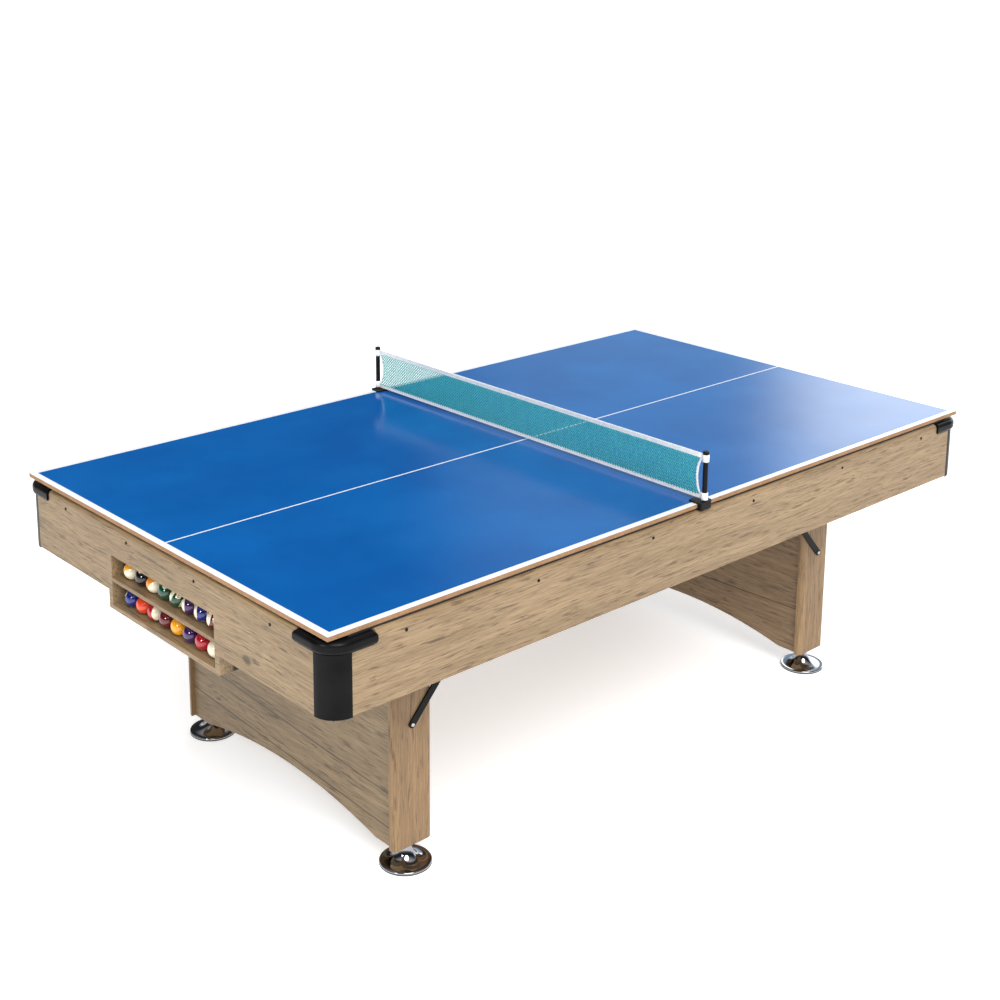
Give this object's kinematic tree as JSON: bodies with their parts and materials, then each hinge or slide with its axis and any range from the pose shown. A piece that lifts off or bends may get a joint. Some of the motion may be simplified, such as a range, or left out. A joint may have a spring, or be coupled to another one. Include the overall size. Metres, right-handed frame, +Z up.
{
  "type": "pool table with tennis top",
  "caption": "Pool table with ball return shelves, arched box legs on levelling feet, and a lift-off table-tennis top with a clip-on net.",
  "frame": {"origin": "on the floor under the middle of the table", "axes": "+X along the table to the head end, away from the ball return; +Y to the far long side; +Z up"},
  "size_m": [2.46, 1.404, 0.963],
  "materials": {
    "oak_laminate": "light oak laminate over board, fine streaked grain, satin",
    "raw_wood": "unfinished pine",
    "bed_mdf": "bare fibreboard",
    "cloth": "woven billiard cloth, dark green",
    "black_plastic": "moulded, satin black",
    "run_plastic": "moulded, dull black",
    "black_steel": "black powder coat",
    "bolt_steel": "zinc plated",
    "chrome": "polished chrome plate",
    "ball_resin": "polished cast resin in pool colours",
    "blue_board": "semi-gloss blue paint with white lines on fibreboard",
    "pad_rubber": "soft black rubber",
    "net_cord": "knotted teal cord mesh",
    "net_tape": "white woven tape"
  },
  "bodies": {
    "cabinet": {"apron_foot": "oak_laminate", "apron_head": "oak_laminate", "apron_near": "oak_laminate", "apron_far": "oak_laminate", "rail_foot": "oak_laminate", "rail_head": "oak_laminate", "rail_near": "oak_laminate", "rail_far": "oak_laminate", "leg_post_foot_near": "oak_laminate", "leg_post_foot_far": "oak_laminate", "leg_post_head_near": "oak_laminate", "leg_post_head_far": "oak_laminate", "leg_panel_foot_outer": "oak_laminate", "leg_panel_foot_inner": "oak_laminate", "leg_panel_head_outer": "oak_laminate", "leg_panel_head_inner": "oak_laminate", "ball_box": "oak_laminate", "ball_shelf": "oak_laminate", "frame_cleats": "raw_wood", "bed_beams": "raw_wood", "leg_blocks": "raw_wood", "bed_board": "bed_mdf", "bed_cloth": "cloth", "cushions_long": "cloth", "cushion_foot": "cloth", "cushion_head": "cloth", "corner_cap_foot_near": "black_plastic", "corner_cap_foot_far": "black_plastic", "corner_cap_head_near": "black_plastic", "corner_cap_head_far": "black_plastic", "pocket_liner_foot_near": "black_plastic", "pocket_liner_foot_far": "black_plastic", "pocket_liner_head_near": "black_plastic", "pocket_liner_head_far": "black_plastic", "pocket_liner_side_near": "black_plastic", "pocket_liner_side_far": "black_plastic", "ball_run_near": "run_plastic", "ball_run_far": "run_plastic", "braces": "black_steel", "apron_screws": "black_steel", "brace_bolts": "bolt_steel"},
    "tennis_top": {"tennis_board_foot": "blue_board", "tennis_board_head": "blue_board", "board_pads": "pad_rubber", "net_clamp_near": "black_steel", "net_clamp_far": "black_steel", "net_post_near": "black_steel", "net_post_far": "black_steel", "net_mesh": "net_cord", "net_tapes": "net_tape"},
    "upper_balls": {"balls_upper": "ball_resin"},
    "lower_balls": {"balls_lower": "ball_resin"},
    "dish_foot_near": {"foot_dish_foot_near": "chrome"},
    "dish_foot_far": {"foot_dish_foot_far": "chrome"},
    "dish_head_near": {"foot_dish_head_near": "chrome"},
    "dish_head_far": {"foot_dish_head_far": "chrome"},
    "stud_foot_near": {"foot_stud_foot_near": "chrome"},
    "stud_foot_far": {"foot_stud_foot_far": "chrome"},
    "stud_head_near": {"foot_stud_head_near": "chrome"},
    "stud_head_far": {"foot_stud_head_far": "chrome"}
  },
  "joints": [
    {"name": "tennis_top_lift", "type": "slide", "parent": "cabinet", "child": "tennis_top", "axis": [0, 0, 1], "range_m": [0, 0.3]},
    {"name": "upper_balls_out", "type": "slide", "parent": "cabinet", "child": "upper_balls", "axis": [-1, 0, 0], "range_m": [0, 0.12]},
    {"name": "lower_balls_out", "type": "slide", "parent": "cabinet", "child": "lower_balls", "axis": [-1, 0, 0], "range_m": [0, 0.12]},
    {"name": "foot_travel_foot_near", "type": "slide", "parent": "cabinet", "child": "dish_foot_near", "axis": [0, 0, -1], "range_m": [-0.003, 0.012]},
    {"name": "foot_screw_foot_near", "type": "hinge", "parent": "dish_foot_near", "child": "stud_foot_near", "pos_m": [-0.815, -0.443, 0.05], "axis": [0, 0, -1], "range_deg": [-617.5, 2469]},
    {"name": "foot_travel_foot_far", "type": "slide", "parent": "cabinet", "child": "dish_foot_far", "axis": [0, 0, -1], "range_m": [-0.003, 0.012]},
    {"name": "foot_screw_foot_far", "type": "hinge", "parent": "dish_foot_far", "child": "stud_foot_far", "pos_m": [-0.815, 0.443, 0.05], "axis": [0, 0, -1], "range_deg": [-617.5, 2469]},
    {"name": "foot_travel_head_near", "type": "slide", "parent": "cabinet", "child": "dish_head_near", "axis": [0, 0, -1], "range_m": [-0.003, 0.012]},
    {"name": "foot_screw_head_near", "type": "hinge", "parent": "dish_head_near", "child": "stud_head_near", "pos_m": [0.815, -0.443, 0.05], "axis": [0, 0, -1], "range_deg": [-617.5, 2469]},
    {"name": "foot_travel_head_far", "type": "slide", "parent": "cabinet", "child": "dish_head_far", "axis": [0, 0, -1], "range_m": [-0.003, 0.012]},
    {"name": "foot_screw_head_far", "type": "hinge", "parent": "dish_head_far", "child": "stud_head_far", "pos_m": [0.815, 0.443, 0.05], "axis": [0, 0, -1], "range_deg": [-617.5, 2469]}
  ],
  "couplings": [
    {"joint": "foot_screw_foot_near", "follows": "foot_travel_foot_near", "rad_per_m": 3590.4},
    {"joint": "foot_screw_foot_far", "follows": "foot_travel_foot_far", "rad_per_m": 3590.4},
    {"joint": "foot_screw_head_near", "follows": "foot_travel_head_near", "rad_per_m": 3590.4},
    {"joint": "foot_screw_head_far", "follows": "foot_travel_head_far", "rad_per_m": 3590.4}
  ]
}
